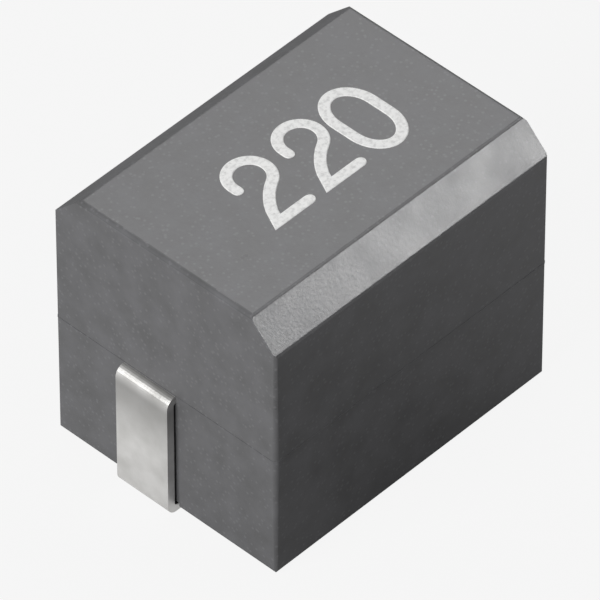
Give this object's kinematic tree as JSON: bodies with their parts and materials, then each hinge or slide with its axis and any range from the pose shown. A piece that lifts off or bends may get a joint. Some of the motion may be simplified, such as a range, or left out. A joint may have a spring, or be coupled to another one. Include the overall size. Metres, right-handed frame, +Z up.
{
  "type": "shielded smd inductor",
  "caption": "Moulded shielded surface-mount inductor: chamfered epoxy block around a wire-wound ferrite drum and sleeve, with folded terminals under each end.",
  "frame": {"origin": "on the board plane, under the middle of the component", "axes": "+X along the length from the left terminal to the right one, +Y across the width, +Z up from the board"},
  "size_m": [0.0044, 0.0032, 0.0036],
  "materials": {
    "epoxy": "moulded, satin, dark grey",
    "tin": "matte tin plate over copper alloy",
    "ferrite": "sintered, matte",
    "copper": "enamelled copper wire",
    "solder": "bright solder",
    "adhesive": "cured adhesive",
    "ink": "white marking ink, on the figures that are printed on the top"
  },
  "bodies": {
    "root": {"moulded_body": "epoxy", "shield_sleeve": "ferrite", "drum_core": "ferrite", "winding": "copper", "terminal_left": "tin", "terminal_right": "tin", "solder_left": "solder", "solder_right": "solder", "tab_adhesive_left": "adhesive", "tab_adhesive_right": "adhesive", "sleeve_adhesive_left": "adhesive", "sleeve_adhesive_right": "adhesive"}
  },
  "joints": []
}
